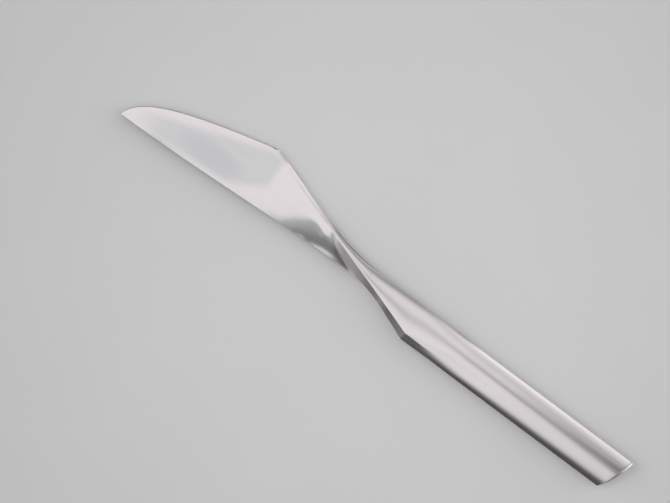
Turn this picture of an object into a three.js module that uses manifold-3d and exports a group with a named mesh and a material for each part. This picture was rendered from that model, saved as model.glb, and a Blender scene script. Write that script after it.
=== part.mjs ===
// A table knife: a forged blade with a twisted neck, in a hollow handle of two pressed shells.
// Millimetres. The knife is drawn flat, with its tip at the origin, its handle towards +x, its spine
// towards +y and its middle plane at z = 0. At the end it is laid down as it rests on a table.
import * as THREE from "three";
import { mergeVertices } from "three/addons/utils/BufferGeometryUtils.js";
import Module from "manifold-3d";

const wasm = await Module();
wasm.setup();

// Blade
const EDGE_LENGTH = 88; // cutting edge, from the tip to the heel
const EDGE_BELLY = 1.2; // pull of the edge's curve below its chord, near the tip
const EDGE_HOLLOW = 0.6; // pull of the edge's curve above its chord, near the heel
const EDGE_THICKNESS = 0.25;
const BLADE_WIDTH = 20.6; // cutting edge to the corner of the shoulder
const SHOULDER_FROM_TIP = 51;
const TIP_WIDTH = 0.7; // the blade's point is this blunt
const TIP_SWEEP = THREE.MathUtils.degToRad(78.7); // how steeply the spine leaves the tip
const TIP_FULLNESS = 0.175; // length of the tip's curve handle, as a share of the spine's run
const SPINE_FALL = THREE.MathUtils.degToRad(11.4); // slope of the spine at the shoulder
const SPINE_FULLNESS = 0.65; // length of the shoulder's curve handle, as a share of the spine's run
const SPINE_BEVEL = 0.4; // width of the rounded edge along the spine
const SHOULDER_BEVEL = 0.9; // width of that edge where it turns down the shoulder
const BEVEL_RUN = 3; // the edge widens over this length, before the shoulder
const SPINE_LAND = 0.8; // thickness of the flat left on the spine
const BEVEL_LIMIT = 0.25; // the rounded edge takes no more than this share of the blade's width
const GRIND_ANGLE = THREE.MathUtils.degToRad(2.8); // slope of each flat blade face
const GRIND_LENGTH = 56; // the faces are flat from the tip to here
const HEEL_ANGLE = THREE.MathUtils.degToRad(13.5); // slope of each face's rounded heel, at its edge
const HEEL_LENGTH = 26; // that rounding grows over this length
const HEEL_EASE = 0.5; // 0 grows evenly, 1 starts and ends softly

// Neck
const SHOULDER_RUN = 41.5; // length of the blade's sloping shoulder
const NECK_RISE = 5.6; // height of the handle's upper edge above the cutting edge, where that slope ends
const NECK_LENGTH = 12.3; // heel to the handle's mouth
const NECK_THICKNESS = 3.9;
const UPPER_BLEND = [10, 16]; // length of the upper blend, before and after its corner
const LOWER_BLEND = [11, 11]; // length of the lower blend, before and after its corner
const RIDGE_PULL = [0.36, 0.29]; // curve handles of the ridge, as shares of its run
const RIDGE_SLOPE = [0.43, 0.39]; // fall of the ridge at its ends
const FOLD_START = 27.5; // shoulder to the place where the neck's facet leaves the ridge
const FOLD_LENGTH = 16; // from there to where the facet has crossed to the cutting side
const FOLD_BOW = 1.4; // power that bows the fold towards the blade: 1 is straight
const FOLD_FADE = 3; // the fold melts away over this length, at its end
const FOLD_MARGIN = 0.06; // the fold's row keeps this share of the flank from either edge
const BLEND_LIMIT = 0.95; // a blend takes no more than this share of a straight
const EDGE_SWELL = 3; // power that keeps the cutting edge thin until close to the handle

// Handle
const HANDLE_SET = THREE.MathUtils.degToRad(2.2); // angle between the handle and the cutting edge
const HANDLE_WIDTH = 13.6;
const HANDLE_THICKNESS = 5.4;
const HANDLE_LAND = 0.6; // thickness of the flat left along the handle's cutting side
const HANDLE_BACK = 1; // thickness of the flat along the handle's spine side
const DOME_FULLNESS = 0.88; // curve of the handle's faces: 0 is a parabola, 1 is half an ellipse
const HANDLE_SHOULDER_RUN = 20.8; // length of the handle's sloping shoulder
const FACET_WIDTH = 2.3; // width of the facet along that shoulder
const FACET_FADE = 16; // the facet melts into the dome over this length
const GRIP_LENGTH = 83.4; // handle's shoulder to the end, along the cutting side
const END_SLANT = THREE.MathUtils.degToRad(22); // how far the end leans from square
const END_DOME = 1.1; // height of the domed end face
const END_ROUND = 0.6; // how far the end's lower corner is drawn back
const END_ROUNDING = 6; // power that keeps that to the corner
const END_LAND = 0.4; // thickness of the flat round the end face
const SHELL_WALL = 0.7;
const PLATE_RIM = 0.8; // thickness of the butt plate at its rim
const PLATE_STEP = 2; // depth of the plate's step inside the shells

// Joints
const BRAZE_GAP = 0.15; // clearance of every brazed joint
const CEMENT_GAP = 0.3; // clearance round the filling
const SPIGOT_LENGTH = 4;
const TANG_LENGTH = 46; // from the spigot's end
const TANG_WIDTH = 3.6;
const TANG_THICKNESS = 1.4;
const NOTCH_RADIUS = 0.8;
const NOTCHES = 2; // on each side of the tang
const FEATHER = 0.24; // least thickness of an inner edge

// Facets of the loft: points across each flank, stations along each stretch
const SPINE_STEPS = 6;
const FACET_STEPS = 2;
const FACE_STEPS = 5;
const TIP_STATIONS = 14;
const NECK_STATIONS = 16;
const SHOULDER_STATIONS = 7;
const GRIP_STATIONS = 11;
const DOME_STATIONS = 5;
const NOTCH_FACETS = 6;
const TIP_CROWDING = 1.7; // power that draws the stations together at the tip
const GRIP_CROWDING = 1.4; // power that draws them together at the handle's shoulder

// Searches by halving
const HALVINGS = 40;
const STEEPEST_ROLL = THREE.MathUtils.degToRad(30); // the roll at rest is less than this

const { clamp, lerp, smoothstep } = THREE.MathUtils;

// Plan of the knife: corners of its outline, and the lines through them

const heelX = EDGE_LENGTH;
const jointX = heelX + NECK_LENGTH;
const cornerX = jointX + HANDLE_SHOULDER_RUN;
const halfWidth = HANDLE_WIDTH / 2 / Math.cos(HANDLE_SET);
const endX = cornerX + GRIP_LENGTH + halfWidth * Math.tan(END_SLANT);
const beyondEnd = endX + HANDLE_WIDTH;

const tip = new THREE.Vector2(0, 0);
const shoulder = new THREE.Vector2(SHOULDER_FROM_TIP, BLADE_WIDTH);
const neckTop = new THREE.Vector2(SHOULDER_FROM_TIP + SHOULDER_RUN, NECK_RISE);
const handleTopAt = (x) => neckTop.y - Math.tan(HANDLE_SET) * (x - neckTop.x);
const handleTopEnd = new THREE.Vector2(beyondEnd, handleTopAt(beyondEnd));
const handleCorner = new THREE.Vector2(cornerX, handleTopAt(cornerX) - 2 * halfWidth);
const handleLowEnd = new THREE.Vector2(beyondEnd, handleTopEnd.y - 2 * halfWidth);
const heel = new THREE.Vector2(heelX, 0);
const neckLow = new THREE.Vector2(jointX, 0);

/** A point at a distance from one corner towards the next, no further than nearly all the way. */
function towards(from, to, distance) {
  const share = Math.min(distance / from.distanceTo(to), BLEND_LIMIT);
  return from.clone().lerp(to, share);
}

/** Carries a path to a rounded corner and a little past it. */
function blend(path, before, corner, after, [lead, trail]) {
  const start = towards(corner, before, lead);
  const end = towards(corner, after, trail);
  path.lineTo(start.x, start.y);
  path.quadraticCurveTo(corner.x, corner.y, end.x, end.y);
}

/** The height of a path that runs steadily towards +x, as a function of x. */
function heightAlong(path) {
  return (x) => {
    let low = 0;
    let high = 1;
    for (let step = 0; step < HALVINGS; step += 1) {
      const middle = (low + high) / 2;
      if (path.getPoint(middle).x < x) low = middle;
      else high = middle;
    }
    return path.getPoint((low + high) / 2).y;
  };
}

function upperOutline() {
  const path = new THREE.Path().moveTo(tip.x, tip.y);
  const rise = new THREE.Vector2(Math.cos(TIP_SWEEP), Math.sin(TIP_SWEEP));
  const fall = new THREE.Vector2(Math.cos(SPINE_FALL), Math.sin(SPINE_FALL));
  const first = tip.clone().addScaledVector(rise, TIP_FULLNESS * SHOULDER_FROM_TIP);
  const second = shoulder.clone().addScaledVector(fall, -SPINE_FULLNESS * SHOULDER_FROM_TIP);
  path.bezierCurveTo(first.x, first.y, second.x, second.y, shoulder.x, shoulder.y);
  blend(path, shoulder, neckTop, handleTopEnd, UPPER_BLEND);
  path.lineTo(handleTopEnd.x, handleTopEnd.y);
  return path;
}

function lowerOutline() {
  const path = new THREE.Path().moveTo(tip.x, tip.y);
  path.bezierCurveTo(heel.x / 3, -EDGE_BELLY, (2 * heel.x) / 3, EDGE_HOLLOW, heel.x, heel.y);
  blend(path, heel, neckLow, handleCorner, LOWER_BLEND);
  path.lineTo(handleCorner.x, handleCorner.y);
  path.lineTo(handleLowEnd.x, handleLowEnd.y);
  return path;
}

const upperAt = heightAlong(upperOutline());
const lowerAt = heightAlong(lowerOutline());

/** The ridge crosses the neck from the blade's shoulder to the handle's shoulder. */
function ridgeLine() {
  const start = new THREE.Vector2(shoulder.x, shoulder.y - SHOULDER_BEVEL);
  const end = new THREE.Vector2(handleCorner.x, handleCorner.y + FACET_WIDTH);
  const run = end.x - start.x;
  const path = new THREE.Path().moveTo(start.x, start.y);
  path.bezierCurveTo(
    start.x + RIDGE_PULL[0] * run,
    start.y - RIDGE_PULL[0] * run * RIDGE_SLOPE[0],
    end.x - RIDGE_PULL[1] * run,
    end.y + RIDGE_PULL[1] * run * RIDGE_SLOPE[1],
    end.x,
    end.y,
  );
  return path;
}

const neckRidgeAt = heightAlong(ridgeLine());

function ridgeAt(x) {
  if (x > shoulder.x) return neckRidgeAt(Math.min(x, cornerX));
  const upper = upperAt(x);
  const bevel = lerp(SPINE_BEVEL, SHOULDER_BEVEL, smoothstep(x, shoulder.x - BEVEL_RUN, shoulder.x));
  return upper - Math.min(bevel, BEVEL_LIMIT * (upper - lowerAt(x)));
}

/** Where the ridge stands between the edges: -1 on the cutting side, 1 on the spine side. */
function ridgeShare(x) {
  const station = Math.min(x, cornerX);
  const upper = upperAt(station);
  const lower = lowerAt(station);
  return (2 * ridgeAt(station) - upper - lower) / (upper - lower);
}

// The fold: a bowed valley from the ridge to the cutting side, where the neck's facet rises from
// the blade's face

const foldStart = new THREE.Vector2(shoulder.x + FOLD_START, ridgeAt(shoulder.x + FOLD_START));
const foldEndX = foldStart.x + FOLD_LENGTH;
const foldEnd = new THREE.Vector2(foldEndX, lowerAt(foldEndX));

function foldAt(x) {
  const left = Math.max((foldEnd.x - x) / FOLD_LENGTH, 0);
  return lerp(foldEnd.y, foldStart.y, left ** FOLD_BOW);
}

const flankWidth = (x) => ridgeAt(x) - lowerAt(x);

/** Share of the flank that the facet takes, from the ridge: below 0 before the fold, above 1 past it. */
const facetShare = (x) => (ridgeAt(x) - foldAt(x)) / flankWidth(x);

// Sections of the knife: half of each, from the spine side over the ridge to the cutting side

const grindHeight = (y) => EDGE_THICKNESS / 2 + Math.tan(GRIND_ANGLE) * y;

function heelEase(x) {
  const share = clamp((x - GRIND_LENGTH) / HEEL_LENGTH, 0, 1);
  return lerp(share, smoothstep(share, 0, 1), HEEL_EASE);
}

/** Height of the blade's face, so far above its edge: steepest at the edge, level with the grind on top. */
function faceHeight(x, above) {
  const edge = lerp(Math.tan(GRIND_ANGLE), Math.tan(HEEL_ANGLE), heelEase(x));
  const part = above / flankWidth(Math.min(x, foldStart.x));
  return landsAt(x).lower + above * lerp(edge, Math.tan(GRIND_ANGLE), part / 2);
}

/** Where the section's crest stands: on the ridge, then round the handle's corner to the middle. */
const crestAt = (x) => ridgeShare(x) * (1 - smoothstep(x, cornerX - FACET_FADE, cornerX + FACET_FADE));

/** Height of the handle's curve between its edges: 1 on the crest, 0 at either edge. */
function bulge(across, crest) {
  const away = (across - crest) / (across > crest ? 1 - crest : 1 + crest);
  const rim = Math.sqrt(1 - DOME_FULLNESS ** 2);
  return (Math.sqrt(1 - (DOME_FULLNESS * away) ** 2) - rim) / (1 - rim);
}

/** Half the flats left along both edges, inside a wall if there is one. */
function landsAt(x, inset = 0) {
  const spine = Math.min(SPINE_LAND / 2, grindHeight(ridgeAt(x)) / 2);
  const upper = lerp(spine, HANDLE_BACK / 2, smoothstep(x, shoulder.x, jointX));
  const swell = smoothstep(x, GRIND_LENGTH, jointX) ** EDGE_SWELL;
  const lower = lerp(grindHeight(lowerAt(x)), HANDLE_LAND / 2, swell);
  const least = inset ? FEATHER / 2 : 0;
  return { upper: Math.max(upper - inset, least), lower: Math.max(lower - inset, least) };
}

/** Half the flat, blended across the section from edge to edge. */
const landAcross = (lands, across) => lerp(lands.lower, lands.upper, (1 + across) / 2);

/** Half the thickness under the ridge, on the blade and the neck. */
function ridgeHeight(x) {
  const station = Math.min(x, foldStart.x);
  const face = faceHeight(station, flankWidth(station));
  return lerp(face, NECK_THICKNESS / 2, smoothstep(x, foldStart.x, jointX));
}

/** Half the thickness at the crest. */
function crownAt(x) {
  if (x < jointX) return ridgeHeight(x);
  return lerp(NECK_THICKNESS, HANDLE_THICKNESS, smoothstep(x, jointX, cornerX + FACET_FADE)) / 2;
}

/** The blade's face, rounded at the heel, and the facet above it. Rise is 0 at the edge, 1 at the ridge. */
function foldedHeight(x, rise) {
  const crease = 1 - clamp(facetShare(x), FOLD_MARGIN, 1 - FOLD_MARGIN);
  if (rise <= crease) return faceHeight(x, rise * flankWidth(x));
  const foot = faceHeight(x, crease * flankWidth(x));
  return lerp(foot, ridgeHeight(x), (rise - crease) / (1 - crease));
}

/** Where the flank's points lie, from the ridge to the edge: by the fold, then by the handle's dome. */
function flankRises(x) {
  const crease = 1 - clamp(facetShare(x), FOLD_MARGIN, 1 - FOLD_MARGIN);
  const ridge = ridgeShare(x);
  const turn = Math.acos(ridge);
  const steps = FACET_STEPS + FACE_STEPS;
  const settled = smoothstep(x, foldEnd.x, jointX);
  return Array.from({ length: steps }, (_, index) => {
    const step = index + 1;
    const folded =
      step <= FACET_STEPS
        ? lerp(1, crease, step / FACET_STEPS)
        : lerp(crease, 0, (step - FACET_STEPS) / FACE_STEPS);
    const domed = (1 + Math.cos(lerp(turn, Math.PI, step / steps))) / (1 + ridge);
    return lerp(folded, domed, settled);
  });
}

/** The stations lean over towards the handle's slanted end, and turn back at its lower corner. */
function leaning(x) {
  const ease = smoothstep(x, cornerX + FACET_FADE, endX);
  const reach = ease * halfWidth * Math.tan(END_SLANT);
  return (across) => x + reach * across - ease * END_ROUND * ((1 - across) / 2) ** END_ROUNDING;
}

/** Points of half a section, set in by a wall or a clearance. */
function halfSection(x, inset = 0) {
  const leaningX = leaning(x);
  const upper = upperAt(leaningX(1)) - inset;
  const lower = lowerAt(leaningX(-1)) + inset;
  const lands = landsAt(x, inset);
  const crown = crownAt(x) - inset;
  const crest = crestAt(x);
  const ridge = ridgeShare(x);
  const turn = Math.acos(ridge);
  const flatness = 1 - smoothstep(x, cornerX, cornerX + FACET_FADE);
  const unfolded = smoothstep(x, foldEnd.x - FOLD_FADE, foldEnd.x);

  const dome = (across) => lerp(landAcross(lands, across), crown, bulge(across, crest));
  const point = (across, z) => {
    return new THREE.Vector3(leaningX(across), lerp(lower, upper, (1 + across) / 2), z);
  };

  const points = [];
  for (let step = 0; step <= SPINE_STEPS; step += 1) {
    const across = Math.cos((turn * step) / SPINE_STEPS);
    points.push(point(across, dome(across)));
  }
  for (const rise of flankRises(x)) {
    const across = Math.max(lerp(-1, ridge, rise), -1);
    const facet = lerp(lands.lower, dome(ridge), rise);
    const plain = lerp(dome(across), facet, flatness);
    points.push(point(across, unfolded < 1 ? lerp(foldedHeight(x, rise), plain, unfolded) : plain));
  }
  return points;
}

// Lofts: a body between two rows of points at each station

function loft(stations, side = 1) {
  const count = stations[0].outer.length;
  const position = [];
  const index = [];
  const at = (station, row, step) => (2 * station + row) * count + step;
  const quad = (a, b, c, d) => {
    if (side > 0) index.push(a, b, c, a, c, d);
    else index.push(a, c, b, a, d, c);
  };

  for (const { outer, inner } of stations) {
    for (const { x, y, z } of [...outer, ...inner]) position.push(x, y, side * z);
  }
  for (let next = 1; next < stations.length; next += 1) {
    const last = next - 1;
    for (let step = 1; step < count; step += 1) {
      quad(at(last, 0, step - 1), at(last, 0, step), at(next, 0, step), at(next, 0, step - 1));
      quad(at(last, 1, step - 1), at(next, 1, step - 1), at(next, 1, step), at(last, 1, step));
    }
    quad(at(last, 0, 0), at(next, 0, 0), at(next, 1, 0), at(last, 1, 0));
    quad(at(last, 0, count - 1), at(last, 1, count - 1), at(next, 1, count - 1), at(next, 0, count - 1));
  }
  const end = stations.length - 1;
  for (let step = 1; step < count; step += 1) {
    quad(at(0, 0, step - 1), at(0, 1, step - 1), at(0, 1, step), at(0, 0, step));
    quad(at(end, 0, step - 1), at(end, 0, step), at(end, 1, step), at(end, 1, step - 1));
  }

  const geometry = new THREE.BufferGeometry();
  geometry.setAttribute("position", new THREE.Float32BufferAttribute(position, 3));
  geometry.setIndex(index);
  return geometry;
}

const mirrored = (points) => points.map(({ x, y, z }) => new THREE.Vector3(x, y, -z));
const whole = (points) => ({ outer: points, inner: mirrored(points) });
const solidStation = (x, inset) => whole(halfSection(x, inset));

/** Stations from one place to another, drawn together towards the first by a power above 1. */
function spread(from, to, count, power = 1) {
  return Array.from({ length: count + 1 }, (_, step) => lerp(from, to, (step / count) ** power));
}

// Joins and cuts

function solidOf(geometry) {
  const bare = geometry.clone();
  bare.deleteAttribute("normal");
  bare.deleteAttribute("uv");
  const merged = mergeVertices(bare);
  return new wasm.Manifold(
    new wasm.Mesh({
      numProp: 3,
      vertProperties: new Float32Array(merged.attributes.position.array),
      triVerts: new Uint32Array(merged.index.array),
    }),
  );
}

function geometryOf(solid) {
  const { vertProperties, triVerts } = solid.getMesh();
  const geometry = new THREE.BufferGeometry();
  geometry.setAttribute("position", new THREE.BufferAttribute(vertProperties, 3));
  geometry.setIndex(new THREE.BufferAttribute(triVerts, 1));
  return geometry;
}

// Pieces

const insideShell = SHELL_WALL + BRAZE_GAP;
const spigotEnd = jointX + SPIGOT_LENGTH;
const shellStart = jointX + BRAZE_GAP;
const plateStart = endX - PLATE_RIM;
const shellEnd = plateStart - BRAZE_GAP;
const stepStart = plateStart - PLATE_STEP;

/** The tang: a flat bar with round notches, aimed from the neck's middle at the handle's middle. */
function tang(grow) {
  const root = spigotEnd - SPIGOT_LENGTH / 2;
  const reach = TANG_LENGTH + SPIGOT_LENGTH / 2 + grow;
  const side = TANG_WIDTH / 2 + grow;
  const bite = NOTCH_RADIUS - grow;
  const pitch = TANG_LENGTH / (NOTCHES + 1);
  const notchX = (number) => SPIGOT_LENGTH / 2 + pitch * number;

  const shape = new THREE.Shape().moveTo(0, side);
  shape.lineTo(0, -side);
  for (let number = 1; number <= NOTCHES; number += 1) {
    shape.absarc(notchX(number), -side, bite, Math.PI, 0, true);
  }
  shape.lineTo(reach, -side);
  shape.lineTo(reach, side);
  for (let number = NOTCHES; number >= 1; number -= 1) {
    shape.absarc(notchX(number), side, bite, 0, Math.PI, true);
  }

  const middleAt = (x) => (upperAt(x) + lowerAt(x)) / 2;
  const aim = Math.atan2(middleAt(root + TANG_LENGTH) - middleAt(root), TANG_LENGTH);
  const depth = TANG_THICKNESS + 2 * grow;
  return new THREE.ExtrudeGeometry(shape, { depth, bevelEnabled: false, curveSegments: NOTCH_FACETS })
    .translate(0, 0, -depth / 2)
    .rotateZ(aim)
    .translate(root, middleAt(root), 0);
}

function bladeGeometry() {
  const tipX = TIP_WIDTH / Math.tan(TIP_SWEEP);
  const stations = [
    ...spread(tipX, shoulder.x, TIP_STATIONS, TIP_CROWDING),
    ...spread(shoulder.x, jointX, NECK_STATIONS).slice(1),
  ].map((x) => solidStation(x));
  stations.push(solidStation(jointX, insideShell), solidStation(spigotEnd, insideShell));
  return geometryOf(solidOf(loft(stations)).add(solidOf(tang(0))));
}

function shellStation(x) {
  const foot = BRAZE_GAP / 2;
  const footed = (points) => {
    const feet = [points[0], points.at(-1)].map(({ x: footX, y }) => new THREE.Vector3(footX, y, foot));
    return [feet[0], ...points, feet[1]];
  };
  return { outer: footed(halfSection(x)), inner: footed(halfSection(x, SHELL_WALL)) };
}

function handleStations(from, to) {
  return [
    ...spread(from, cornerX, SHOULDER_STATIONS),
    ...spread(cornerX, to, GRIP_STATIONS, GRIP_CROWDING).slice(1),
  ];
}

const shellGeometry = (side) => loft(handleStations(shellStart, shellEnd).map(shellStation), side);

/** The end face: each point of the rim swings over to the middle plane, as far out as it was high. */
function domeStation(rim, turn) {
  const land = END_LAND / 2;
  const crown = crownAt(endX);
  const points = rim.map(({ x, y, z }) => {
    const height = z - land;
    const out = END_DOME * (height / (crown - land)) * Math.sin(turn);
    return new THREE.Vector3(
      x + out * Math.cos(END_SLANT),
      y - out * Math.sin(END_SLANT),
      land + height * Math.cos(turn),
    );
  });
  return whole(points);
}

function plateGeometry() {
  const rim = halfSection(endX);
  const stations = [
    solidStation(stepStart, insideShell),
    solidStation(plateStart, insideShell),
    solidStation(plateStart),
    whole(rim),
  ];
  for (let step = 1; step <= DOME_STATIONS; step += 1) {
    stations.push(domeStation(rim, (Math.PI / 2) * (step / DOME_STATIONS)));
  }
  return loft(stations);
}

function fillingGeometry() {
  const inset = SHELL_WALL + CEMENT_GAP;
  const stations = handleStations(spigotEnd + CEMENT_GAP, stepStart - CEMENT_GAP);
  const core = loft(stations.map((x) => solidStation(x, inset)));
  return geometryOf(solidOf(core).subtract(solidOf(tang(CEMENT_GAP))));
}

// Assembly

const polished = { color: 0xd9dadc, metalness: 1, roughness: 0.12 };
const satin = { color: 0xd2d0d0, metalness: 1, roughness: 0.32 };
const cement = { color: 0xb9b2a4, metalness: 0, roughness: 0.9 };

function piece(name, geometry, finish) {
  const mesh = new THREE.Mesh(geometry, new THREE.MeshStandardMaterial(finish));
  mesh.name = name;
  geometry.computeVertexNormals();
  return mesh;
}

const blade = piece("blade", bladeGeometry(), polished);
const shellFront = piece("handle_shell_front", shellGeometry(1), satin);
const shellBack = piece("handle_shell_back", shellGeometry(-1), satin);
const buttPlate = piece("butt_plate", plateGeometry(), satin);
const filling = piece("handle_filling", fillingGeometry(), cement);

// Rest: the handle lies along x, and the knife rolls on it until the blade's shoulder touches down

const ahead = [];
const behind = [];
for (const mesh of [blade, shellBack, buttPlate]) {
  const { position } = mesh.geometry.attributes;
  for (let number = 0; number < position.count; number += 1) {
    const point = new THREE.Vector3().fromBufferAttribute(position, number);
    if (point.x < heelX) ahead.push(point);
    else behind.push(point);
  }
}

const lowest = (points, turn) => Math.min(...points.map((point) => point.clone().applyEuler(turn).z));

function restTurn() {
  const turn = new THREE.Euler(0, 0, HANDLE_SET);
  let low = 0;
  let high = STEEPEST_ROLL;
  for (let step = 0; step < HALVINGS; step += 1) {
    const roll = (low + high) / 2;
    turn.x = -roll;
    if (lowest(ahead, turn) > lowest(behind, turn)) low = roll;
    else high = roll;
  }
  return turn;
}

const knife = new THREE.Group();
knife.rotation.copy(restTurn());
knife.add(blade, shellFront, shellBack, buttPlate, filling);

const box = new THREE.Box3().setFromObject(knife, true);
const middle = box.getCenter(new THREE.Vector3());
knife.position.set(-middle.x, -middle.y, -box.min.z);

const resting = new THREE.Group();
resting.add(knife);

export default resting;
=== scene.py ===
"""A table knife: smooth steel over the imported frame, on a pale table under a soft tent of light."""

import collections
import functools
import math

import bpy
import numpy as np
from mathutils import Matrix, Vector


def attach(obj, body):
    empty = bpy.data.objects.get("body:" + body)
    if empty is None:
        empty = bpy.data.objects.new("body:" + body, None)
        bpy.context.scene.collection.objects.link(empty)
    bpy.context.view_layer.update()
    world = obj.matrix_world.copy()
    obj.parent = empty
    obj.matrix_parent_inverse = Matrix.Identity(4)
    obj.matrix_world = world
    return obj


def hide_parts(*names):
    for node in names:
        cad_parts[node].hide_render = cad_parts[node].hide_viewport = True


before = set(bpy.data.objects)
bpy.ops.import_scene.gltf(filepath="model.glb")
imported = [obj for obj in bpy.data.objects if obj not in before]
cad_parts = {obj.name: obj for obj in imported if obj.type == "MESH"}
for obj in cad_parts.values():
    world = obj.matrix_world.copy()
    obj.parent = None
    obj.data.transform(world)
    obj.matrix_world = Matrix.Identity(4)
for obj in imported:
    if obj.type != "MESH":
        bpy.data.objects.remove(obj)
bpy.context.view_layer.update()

# Sizes of the knife in millimetres, drawn flat: tip at the origin, handle towards +x, spine towards +y
EDGE_LENGTH, EDGE_BELLY, EDGE_HOLLOW, EDGE_THICKNESS, EDGE_SWELL = 88, 1.2, 0.6, 0.25, 3
BLADE_WIDTH, SHOULDER_FROM_TIP, TIP_WIDTH = 20.6, 51, 0.7
TIP_SWEEP, TIP_FULLNESS = math.radians(78.7), 0.175
SPINE_FALL, SPINE_FULLNESS = math.radians(11.4), 0.65
SPINE_BEVEL, SHOULDER_BEVEL, BEVEL_RUN, BEVEL_LIMIT, SPINE_LAND = 0.4, 0.9, 3, 0.25, 0.8
GRIND_ANGLE, GRIND_LENGTH = math.radians(2.8), 56
HEEL_ANGLE, HEEL_LENGTH, HEEL_EASE = math.radians(13.5), 26, 0.5
SHOULDER_RUN, NECK_RISE, NECK_LENGTH, NECK_THICKNESS = 41.5, 5.6, 12.3, 3.9
UPPER_BLEND, LOWER_BLEND, BLEND_LIMIT = (10, 16), (11, 11), 0.95
RIDGE_PULL, RIDGE_SLOPE = (0.36, 0.29), (0.43, 0.39)
FOLD_START, FOLD_LENGTH, FOLD_FADE, FOLD_MARGIN, FOLD_BOW = 27.5, 16, 3, 0.06, 1.4
HANDLE_SET = math.radians(2.2)
HANDLE_WIDTH, HANDLE_THICKNESS, HANDLE_LAND, HANDLE_BACK, DOME_FULLNESS = 13.6, 5.4, 0.6, 1, 0.88
HANDLE_SHOULDER_RUN, FACET_WIDTH, FACET_FADE, GRIP_LENGTH = 20.8, 2.3, 16, 83.4
END_SLANT, END_DOME, END_LAND, END_ROUND, END_ROUNDING = math.radians(22), 1.1, 0.4, 0.6, 6
SHELL_WALL, PLATE_RIM, PLATE_STEP = 0.7, 0.8, 2
BRAZE_GAP, SPIGOT_LENGTH, FEATHER = 0.15, 4, 0.24
SEAM = 0.03  # what shows of each brazed joint
TANG_LENGTH, TANG_WIDTH, TANG_THICKNESS, NOTCH_RADIUS, NOTCHES = 46, 3.6, 1.4, 0.8, 2

# What polishing does: it leaves the middle of the blade's face fuller, keeps the crest on the ridge up to
# the handle's corner and lets the crown rise past that corner
FACE_CROWN = 0.15
CREST_LEAD, CREST_TRAIL, CREST_ROUND, CREST_SAMPLES = 4, 22, 4, 8
CROWN_TRAIL = 22

# It also leans the heel's face over beside the edge and steps it up further on. In and out are ranges from
# the tip. Foot and head are heights above the edge, before and after the step has dropped towards the fold
HEEL_LEAN, LEAN_WIDTH, LEAN_PIVOT, LEAN_IN, LEAN_OUT = 0.0236, 7, 3.1, (58, 66), (68, 80)
HEEL_STEP, STEP_IN, STEP_OUT, STEP_DROP = 2.6, (70.5, 76), (80, 85), (75, 81)
STEP_FOOT, STEP_HEAD = (3.6, 2.0), (8.2, 5.3)
FALL_FOOT, FALL_HEAD = (7.0, 4.4), (9.0, 6.6)

# Points across each flank and stations along each stretch of the smooth meshes
SPINE_STEPS, FACET_STEPS, FACE_STEPS = 18, 12, 30
TIP_STATIONS, NECK_STATIONS, SHOULDER_STATIONS, GRIP_STATIONS, DOME_STATIONS = 90, 110, 44, 80, 14
NOTCH_STATIONS = 13
TIP_CROWDING, GRIP_CROWDING = 1.7, 1.4  # stations crowd together at the start of these stretches
SECTION_POINTS = 1 + SPINE_STEPS + FACET_STEPS + FACE_STEPS

# Edges sharper than these angles stay crisp
BLADE_CREASE, SHELL_CREASE, PLATE_CREASE = math.radians(30), math.radians(12), math.radians(25)

# Searches by halving
HALVINGS = 40
STEEPEST_ROLL = math.radians(30)

# View from above, in millimetres and in pixels of the picture
PICTURE_WIDTH, MM_PER_PIXEL = 670, 0.3384
CAMERA_HEIGHT, SENSOR_WIDTH = 700, 36
PICTURE_TURN = math.radians(36.76)  # the handle runs this far below the picture's horizontal
TIP_TO_CENTRE = (72.46, -46.65)  # from the tip to the picture's middle: right and up

METRES = 0.001  # in a millimetre


def lerp(a, b, t):
    return a + (b - a) * t


def clamp(v, low, high):
    return min(max(v, low), high)


def smoothstep(x, low, high):
    t = clamp((x - low) / (high - low), 0, 1)
    return t * t * (3 - 2 * t)


def between(x, rise, fall):
    """1 from the rise's end to the fall's start, 0 before and after them."""
    return smoothstep(x, *rise) * (1 - smoothstep(x, *fall))


# Plan: outlines and the ridge, each a row of Bezier curves that run towards +x

heel_x = EDGE_LENGTH
joint_x = heel_x + NECK_LENGTH
corner_x = joint_x + HANDLE_SHOULDER_RUN
half_width = HANDLE_WIDTH / 2 / math.cos(HANDLE_SET)
end_x = corner_x + GRIP_LENGTH + half_width * math.tan(END_SLANT)
beyond_end = end_x + HANDLE_WIDTH

tip = Vector((0, 0))
shoulder = Vector((SHOULDER_FROM_TIP, BLADE_WIDTH))
neck_top = Vector((SHOULDER_FROM_TIP + SHOULDER_RUN, NECK_RISE))


def handle_top_at(x):
    return neck_top.y - math.tan(HANDLE_SET) * (x - neck_top.x)


handle_top_end = Vector((beyond_end, handle_top_at(beyond_end)))
handle_corner = Vector((corner_x, handle_top_at(corner_x) - 2 * half_width))
handle_low_end = Vector((beyond_end, handle_top_end.y - 2 * half_width))
heel = Vector((heel_x, 0))
neck_low = Vector((joint_x, 0))


def towards(start, end, distance):
    return start.lerp(end, min(distance / (end - start).length, BLEND_LIMIT))


def blended(start, corner, end, spans):
    """Line, rounded corner, line."""
    lead, trail = towards(corner, start, spans[0]), towards(corner, end, spans[1])
    return [[start, lead], [lead, corner, trail], [trail, end]]


def aimed(angle, length):
    return Vector((math.cos(angle), math.sin(angle))) * length


upper_outline = [
    [
        tip,
        tip + aimed(TIP_SWEEP, TIP_FULLNESS * SHOULDER_FROM_TIP),
        shoulder - aimed(SPINE_FALL, SPINE_FULLNESS * SHOULDER_FROM_TIP),
        shoulder,
    ],
    *blended(shoulder, neck_top, handle_top_end, UPPER_BLEND),
]
lower_outline = [
    [tip, Vector((heel_x / 3, -EDGE_BELLY)), Vector((2 * heel_x / 3, EDGE_HOLLOW)), heel],
    *blended(heel, neck_low, handle_corner, LOWER_BLEND),
    [handle_corner, handle_low_end],
]


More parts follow.
